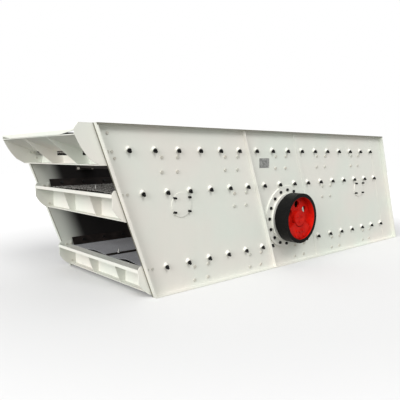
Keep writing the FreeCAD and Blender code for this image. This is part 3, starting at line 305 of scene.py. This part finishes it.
def steelSurface(name, look, metallic, grain, stretch):
    # Bare, plated or brushed metal: bright and dull patches, and grain drawn out along one way
    material, tree = newMaterial(name)
    here = addNode(tree, "ShaderNodeTexCoord", out="Object")
    patches = addNode(tree, "ShaderNodeTexNoise", None,
                      {"Vector": here, "Scale": steelTarnish["patchesPerMetre"], "Detail": 4.0})
    patches = addNode(tree, "ShaderNodeMapRange", None,
                      {"Value": patches, "From Min": steelTarnish["patchEdges"][0],
                       "From Max": steelTarnish["patchEdges"][1]})
    colour = addNode(tree, "ShaderNodeMix", {"data_type": "RGBA"},
                     {0: patches, 6: look["bright"], 7: look["dull"]}, 2)
    rough = addNode(tree, "ShaderNodeMapRange", None,
                    {"Value": patches, "To Min": look["rough"][0], "To Max": look["rough"][1]})
    drawn = addNode(tree, "ShaderNodeMapping", None, {"Vector": here, "Scale": stretch})
    lines = addNode(tree, "ShaderNodeTexNoise", None, {"Vector": drawn, "Scale": 1 / grain, "Detail": 2.0})
    normal = addNode(tree, "ShaderNodeBump", None,
                     {"Height": lines, "Distance": steelTarnish["grainDepth"]})
    shader = addNode(tree, "ShaderNodeBsdfPrincipled", None,
                     {"Base Color": colour, "Roughness": rough, "Normal": normal, "Metallic": metallic})
    addNode(tree, "ShaderNodeOutputMaterial", None, {"Surface": shader})
    return material


finishes = {
    "body_paint": sprayedEnamel("sprayedEnamelBody", bodyPaintLook),
    "beam_paint": sprayedEnamel("dustyEnamelBeamsWithPaintedShade", shadedBeamPaintLook),
    "painted_bolt": sprayedEnamel("overpaintedBolts", boltPaintLook),
    "washer_steel": sprayedEnamel("paintedWashers", wedgePaintLook),
    "black_paint": darkCoat("blackEnamelHousing", blackLook, 4 * mm, 0.04 * mm),
    "dark_primer": darkCoat("mattPrimerRails", primerLook, 4 * mm, 0.05 * mm),
    "deck_rubber": darkCoat("extrudedDeckRubber", rubberLook, 3 * mm, 0.1 * mm),
    "wheel_paint": wheelEnamel("enamelledWheel", wheelLook),
    "screen_wire": steelSurface("oiledSpringSteelWire", wireLook, 0.85, 3 * mm, (1, 1, 1)),
    "black_bolt": steelSurface("blackOxideBolts", blackOxideLook, 0.6, 2 * mm, (1, 1, 1)),
    "bright_bolt": steelSurface("zincPlatedBolts", zincLook, 0.7, 2 * mm, (1, 1, 1)),
    "bearing_steel": steelSurface("groundBearingSteel", groundSteelLook, 1.0, 2 * mm, (1, 1, 1)),
    "shaft_steel": steelSurface("turnedShaftSteel", groundSteelLook, 1.0, 1 * mm, (1, 20, 1)),
    # brush lines are drawn about 5 times their real width
    "nameplate_metal": steelSurface("brushedAluminiumPlate", nameplateLook, 0.5, 1.5 * mm, (0.02, 1, 1)),
}
# side plates and edge flanges: painted shade on the inner faces and painted shadow lines along the edges
shadedPlates = sprayedEnamel("enamelPlatesWithPaintedShade", shadedPlateLook)
shadedPlateNodes = ("near_side_plate", "far_side_plate", "near_edge_flanges", "far_edge_flanges")

for part in frame["record"]["subparts"]:
    mesh = nodes[part["node"]].data
    mesh.materials.clear()
    mesh.materials.append(shadedPlates if part["node"] in shadedPlateNodes else finishes[part["material_slot"]])
print("finishes on all nodes")


def meshPiece(name, points, faceArrays, slot, smooth=True):
    mesh = bpy.data.meshes.new(name)
    mesh.from_pydata(points.reshape(-1, 3).tolist(), [], sum((faces.tolist() for faces in faceArrays), []))
    if smooth:
        mesh.shade_smooth()
    mesh.materials.append(finishes[slot])
    piece = bpy.data.objects.new(name, mesh)
    bpy.context.scene.collection.objects.link(piece)
    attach(piece, "frame")
    return piece


def tubeFaces(tubes, rings, sides):
    # quads round each tube of a (tubes, rings, sides) grid, and one face over each end
    ring, side = np.meshgrid(np.arange(rings - 1), np.arange(sides), indexing="ij")
    after = (side + 1) % sides
    wall = np.stack([ring * sides + side, ring * sides + after,
                     (ring + 1) * sides + after, (ring + 1) * sides + side], -1).reshape(-1, 4)
    start = np.arange(tubes)[:, None] * rings * sides
    first = start + np.arange(sides)[::-1]
    last = start + (rings - 1) * sides + np.arange(sides)
    return [(wall[None] + start[:, :, None]).reshape(-1, 4), first, last]


wovenScreens = {
    "top": {"pitch": 80 * mm, "wire": 10 * mm, "crown": 0.0},
    "middle": {"pitch": 60 * mm, "wire": 10 * mm, "crown": 20 * mm},
}


def wires(start, end, across, look, middle, half, crosswise):
    # Centre line from start to end:
    # height = crown * (1 - (y / half)^2) + wire / 2 * cos(pi * (crossings passed + wire number)).
    # Section: four points on a circle of the wire's radius, turned with the slope.
    perPitch, count = 4, len(across)
    steps = int(round((end - start) / look["pitch"])) * perPitch + 1
    along = np.linspace(start, end, steps)
    sign = -1 if crosswise else 1
    phase = np.pi * ((np.arange(steps) / perPitch)[None] + np.arange(count)[:, None])
    height = sign * look["wire"] / 2 * np.cos(phase)
    slope = -sign * look["wire"] / 2 * np.sin(phase) * np.pi / look["pitch"]
    turns = np.pi / 4 + np.pi / 2 * np.arange(4)
    sideways, upwards = np.cos(turns) * look["wire"] / 2, np.sin(turns) * look["wire"] / 2
    length = np.sqrt(1 + slope ** 2)[..., None]
    grid = np.zeros((count, steps, 4, 3))
    run, side = (1, 0) if crosswise else (0, 1)
    grid[..., run] = along[None, :, None] - slope[..., None] / length * upwards
    grid[..., side] = across[:, None, None] + sideways
    crown = look["crown"] * (1 - (grid[..., 1] / half) ** 2)
    grid[..., 2] = middle + crown + height[..., None] + upwards / length
    faces = tubeFaces(count, steps, 4)
    return grid.reshape(-1, 3), [each[:, ::-1] for each in faces] if crosswise else faces


def wovenScreen(deck, look):
    low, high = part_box(deck + "_screen_mesh")
    middle, half = (low.z + high.z) / 2, high.y
    longCount = int((high.y - low.y) / look["pitch"])
    longY = (np.arange(longCount) - (longCount - 1) / 2) * look["pitch"]
    crossX = np.arange(low.x + look["wire"], high.x - look["wire"] / 2, look["pitch"])
    longPoints, longFaces = wires(crossX[0], crossX[-1], longY, look, middle, half, False)
    crossPoints, crossFaces = wires(longY[0], longY[-1], crossX, look, middle, half, True)
    faces = longFaces + [each + len(longPoints) for each in crossFaces]
    piece = meshPiece(deck + "WovenScreen", np.concatenate([longPoints, crossPoints]), faces, "screen_wire")
    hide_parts(deck + "_screen_mesh")


for deck, look in wovenScreens.items():
    wovenScreen(deck, look)
print("woven screens made")

fineScreen = {
    "rise": (18 * mm, 24 * mm),      # how far the free edge stands up at its two waves
    "at": (0.28, -0.42),
    "spread": (0.17, 0.15),
    "reach": 0.35,                   # the waves die out this far behind the edge
    "thick": 3 * mm,
    "pitch": 14 * mm,                # the weave, drawn about 4 times its real pitch
    "wires": ("#c6c7cb", "#a6a6a8"),
    "gaps": "#727276",
    "sag": 3 * mm,           # between the deck bars
    "bay": 0.45,             # from one deck bar to the next
    "sagStart": 0.3,         # the sag sets in over this length
}


def fineWeave(name, look):
    # Fine woven wire cloth: light grey wires over darker gaps
    material, tree = newMaterial(name)
    here = addNode(tree, "ShaderNodeTexCoord", out="Object")
    wave = {"Vector": here, "Scale": math.pi / (10 * look["pitch"])}
    long = addNode(tree, "ShaderNodeTexWave", {"bands_direction": "X"}, wave, "Fac")
    cross = addNode(tree, "ShaderNodeTexWave", {"bands_direction": "Y"}, wave, "Fac")
    cloth = addNode(tree, "ShaderNodeMath", {"operation": "MAXIMUM"}, {0: long, 1: cross})
    dust = addNode(tree, "ShaderNodeTexNoise", None, {"Vector": here, "Scale": 4.0, "Detail": 4.0})
    wire = addNode(tree, "ShaderNodeMix", {"data_type": "RGBA"},
                   {0: dust, 6: look["wires"][0], 7: look["wires"][1]}, 2)
    lit = addNode(tree, "ShaderNodeMapRange", None, {"Value": cloth, "From Min": 0.2, "From Max": 0.6})
    colour = addNode(tree, "ShaderNodeMix", {"data_type": "RGBA"}, {0: lit, 6: look["gaps"], 7: wire}, 2)
    normal = addNode(tree, "ShaderNodeBump", None, {"Height": cloth, "Distance": 0.8 * mm})
    shader = addNode(tree, "ShaderNodeBsdfPrincipled", None,
                     {"Base Color": colour, "Normal": normal, "Metallic": 0.2, "Roughness": 0.55})
    addNode(tree, "ShaderNodeOutputMaterial", None, {"Surface": shader})
    return material


def fineScreenSheet(look):
    # A sheet over the deck:
    # height = two Gaussian waves across the front edge, fading along the deck, less a slight sag
    low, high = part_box("bottom_screen_mesh")
    x, y = np.meshgrid(np.linspace(low.x, high.x, 120), np.linspace(low.y, high.y, 121), indexing="ij")
    wave = sum(rise * np.exp(-((y - at) / spread) ** 2)
               for rise, at, spread in zip(look["rise"], look["at"], look["spread"]))
    setsIn = np.clip((x - low.x) / look["sagStart"], 0, 1)
    sag = -look["sag"] * np.sin(np.pi * (y - low.y) / look["bay"]) ** 2 * setsIn
    z = high.z - look["thick"] + wave * np.exp(-(x - low.x) / look["reach"]) + sag
    top, under = np.stack([x, y, z + look["thick"]], -1), np.stack([x, y, z], -1)
    index = np.arange(x.size).reshape(x.shape)
    upper = np.stack([index[:-1, :-1], index[1:, :-1], index[1:, 1:], index[:-1, 1:]], -1).reshape(-1, 4)
    rim = np.concatenate([index[0, :-1], index[:-1, -1], index[-1, :0:-1], index[:0:-1, 0]])
    after = np.roll(rim, -1)
    edge = np.stack([rim, after, after + x.size, rim + x.size], -1)
    piece = meshPiece("bottomFineScreen", np.concatenate([top.reshape(-1, 3), under.reshape(-1, 3)]),
                      [upper, upper[:, ::-1] + x.size, edge], "screen_wire", smooth=False)
    piece.data.materials[0] = fineWeave("fineWireCloth", look)
    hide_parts("bottom_screen_mesh")


fineScreenSheet(fineScreen)
print("fine screen made")

weldBeads = {
    "radius": 4 * mm,
    "ripple": 0.6 * mm,      # ripples drawn about 3 times as long as real ones
    "rippleLength": 12 * mm,
    "flange": 10 * mm,       # thickness of the edge flanges
    "height": 1.722,
    "topEnd": 2.34,
    "footEnd": 2.96,
    "rib": -0.262,           # the standing rib's front face at the bottom edge
    "ring": 0.4,             # radius of the tube flange
    "start": 20 * mm,        # from the leaning edge
    "sides": 6,
    "ringSteps": 600,
    "ringShare": 0.998,      # of a full turn
}


def weldBead(name, line):
    # A round bead along a line in one upright plane, closed at both ends:
    # radius = r + ripple * |sin(pi * way along / ripple length)|.
    # Section axes: across the plate (Y) and tangent x Y.
    look = weldBeads
    tangent = np.gradient(line, axis=0)
    tangent /= np.linalg.norm(tangent, axis=1, keepdims=True)
    across = np.array([0.0, 1.0, 0.0])
    beside = np.cross(tangent, across)
    way = np.concatenate([[0], np.cumsum(np.linalg.norm(np.diff(line, axis=0), axis=1))])
    radius = look["radius"] + look["ripple"] * np.abs(np.sin(np.pi * way / look["rippleLength"]))
    turn = np.linspace(0, 2 * np.pi, look["sides"], endpoint=False)
    grid = line[:, None] + radius[:, None, None] * (np.cos(turn)[None, :, None] * across
                                                    + np.sin(turn)[None, :, None] * beside[:, None])
    meshPiece(name, grid, tubeFaces(1, len(line), look["sides"]), "body_paint")


def straightLine(start, end):
    count = int(math.dist(start, end) / (weldBeads["rippleLength"] / 3))
    return np.linspace(start, end, count)


def leaning(x, y, z):
    # the point at height z on a line that leans as the plate's edge does
    return (x - plateEdge["lean"] * z, y, z)


for name, side in (("near", -1), ("far", 1)):
    y, flange = side * plateEdge["outer"], weldBeads["flange"]
    high = weldBeads["height"] - flange
    weldBead(name + "TopWeld", straightLine(leaning(-plateEdge["foot"] + weldBeads["start"], y, high),
                                            (weldBeads["topEnd"], y, high)))
    weldBead(name + "FootWeld", straightLine(leaning(-plateEdge["foot"] + weldBeads["start"], y, flange),
                                             (weldBeads["footEnd"], y, flange)))
    weldBead(name + "RibWeld", straightLine(leaning(weldBeads["rib"], y, flange),
                                            leaning(weldBeads["rib"], y, high)))
    angle = np.linspace(0, 2 * np.pi * weldBeads["ringShare"], weldBeads["ringSteps"])
    ringX = axisPoint.x + weldBeads["ring"] * np.cos(angle)
    ringZ = axisPoint.z + weldBeads["ring"] * np.sin(angle)
    weldBead(name + "RingWeld", np.stack([ringX, np.full(len(angle), y), ringZ], -1))
print("weld beads made")

plateRivets = {"radius": 5 * mm, "rise": 2.5 * mm, "inset": 10 * mm, "rings": 5, "sides": 14, "crown": 1.45}


def rivetHeads(look):
    # Domes at the plate's corners: radius r * cos(a), rise h * sin(a), a from 0 to nearly a quarter turn
    low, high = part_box("nameplate")
    x = np.array([low.x + look["inset"], high.x - look["inset"]])[[0, 1, 1, 0]]
    z = np.array([low.z + look["inset"], high.z - look["inset"]])[[0, 0, 1, 1]]
    climb = np.linspace(0, look["crown"], look["rings"])[:, None]
    turn = np.linspace(0, 2 * np.pi, look["sides"], endpoint=False)[None]
    ring = look["radius"] * np.cos(climb)
    grid = np.zeros((4, look["rings"], look["sides"], 3))
    grid[..., 0] = x[:, None, None] + ring * np.cos(turn)
    grid[..., 1] = low.y - look["rise"] * np.sin(climb) + 0 * turn
    grid[..., 2] = z[:, None, None] + ring * np.sin(turn)
    faces = [each[:, ::-1] for each in tubeFaces(4, look["rings"], look["sides"])]
    meshPiece("nameplateRivets", grid, faces, "bright_bolt")


rivetHeads(plateRivets)
print("rivets made")

stageLook = {
    "half": 30.0,
    "near": "#e0e0e0",       # as the camera sees it beside the object
    "distant": "#ffffff",
    "bounce": "#8c8c88",     # what it throws back on the object
    "fade": (3.0, 7.0),      # from near to distant, metres from the middle
    "gap": 0.5 * mm,         # floor below the object
}

floorMaterial, floorTree = newMaterial("paleFloor")
floorPlace = addNode(floorTree, "ShaderNodeTexCoord", out="Object")
floorAway = addNode(floorTree, "ShaderNodeVectorMath", {"operation": "LENGTH"}, {0: floorPlace}, "Value")
floorAway = addNode(floorTree, "ShaderNodeMapRange", {"interpolation_type": "SMOOTHSTEP"},
                    {"Value": floorAway, "From Min": stageLook["fade"][0],
                     "From Max": stageLook["fade"][1]})
floorSeen = addNode(floorTree, "ShaderNodeMix", {"data_type": "RGBA"},
                    {0: floorAway, 6: stageLook["near"], 7: stageLook["distant"]}, 2)
floorRay = addNode(floorTree, "ShaderNodeLightPath", out="Is Camera Ray")
floorColour = addNode(floorTree, "ShaderNodeMix", {"data_type": "RGBA"},
                      {0: floorRay, 6: stageLook["bounce"], 7: floorSeen}, 2)
floorShader = addNode(floorTree, "ShaderNodeBsdfPrincipled", None,
                      {"Base Color": floorColour, "Roughness": 0.9, "Specular IOR Level": 0.1})
addNode(floorTree, "ShaderNodeOutputMaterial", None, {"Surface": floorShader})
floorZ = cadBox[0].z - stageLook["gap"]
floorMesh = bpy.data.meshes.new("floor")
floorMesh.from_pydata([(x * stageLook["half"], y * stageLook["half"], floorZ)
                       for x, y in ((-1, -1), (1, -1), (1, 1), (-1, 1))], [], [(0, 1, 2, 3)])
floorMesh.materials.append(floorMaterial)
floor = bpy.data.objects.new("floor", floorMesh)
bpy.context.scene.collection.objects.link(floor)

lights = {
    "sky": 0.6,              # what lights the object; the seen background is 1
    "keySun": {"strength": 1.45, "angle": 25.0, "from": (-0.25, -0.75, 0.75)},
    "frontSun": {"strength": 2.8, "angle": 40.0, "from": (-0.95, -0.25, 0.35)},
}

world = bpy.data.worlds.new("studio")
bpy.context.scene.world = world
world.use_nodes = True
worldTree = world.node_tree
worldTree.nodes.clear()
seenRay = addNode(worldTree, "ShaderNodeLightPath", out="Is Camera Ray")
glossyRay = addNode(worldTree, "ShaderNodeLightPath", out="Is Glossy Ray")
seenDirect = addNode(worldTree, "ShaderNodeMath", {"operation": "MAXIMUM"}, {0: seenRay, 1: glossyRay})
skyStrength = addNode(worldTree, "ShaderNodeMapRange", None,
                      {"Value": seenDirect, "To Min": lights["sky"], "To Max": 1.0})
sky = addNode(worldTree, "ShaderNodeBackground", None, {"Color": "#ffffff", "Strength": skyStrength})
addNode(worldTree, "ShaderNodeOutputWorld", None, {"Surface": sky})

for name in ("keySun", "frontSun"):
    sun = bpy.data.lights.new(name, "SUN")
    sun.energy = lights[name]["strength"]
    sun.angle = math.radians(lights[name]["angle"])
    lamp = bpy.data.objects.new(name, sun)
    lamp.rotation_euler = Vector(lights[name]["from"]).to_track_quat("Z", "Y").to_euler()
    bpy.context.scene.collection.objects.link(lamp)

cameraLook = {
    "place": (-4.8161, -4.6066, 1.4362),
    "forward": (0.66059, 0.74426, -0.09847),
    "up": (0.0669, 0.07229, 0.99514),
    "lens": 41.22,
}
lens = bpy.data.cameras.new("camera")
lens.lens = cameraLook["lens"]
lens.sensor_width = 36.0
camera = bpy.data.objects.new("camera", lens)
forward, up = Vector(cameraLook["forward"]).normalized(), Vector(cameraLook["up"])
right = forward.cross(up).normalized()
up = right.cross(forward)
turned = Matrix((right, up, -forward)).transposed().to_4x4()
camera.matrix_world = Matrix.Translation(cameraLook["place"]) @ turned
bpy.context.scene.collection.objects.link(camera)
bpy.context.scene.camera = camera
bpy.context.scene.view_settings.view_transform = "Standard"
print("stage, lights and camera set")
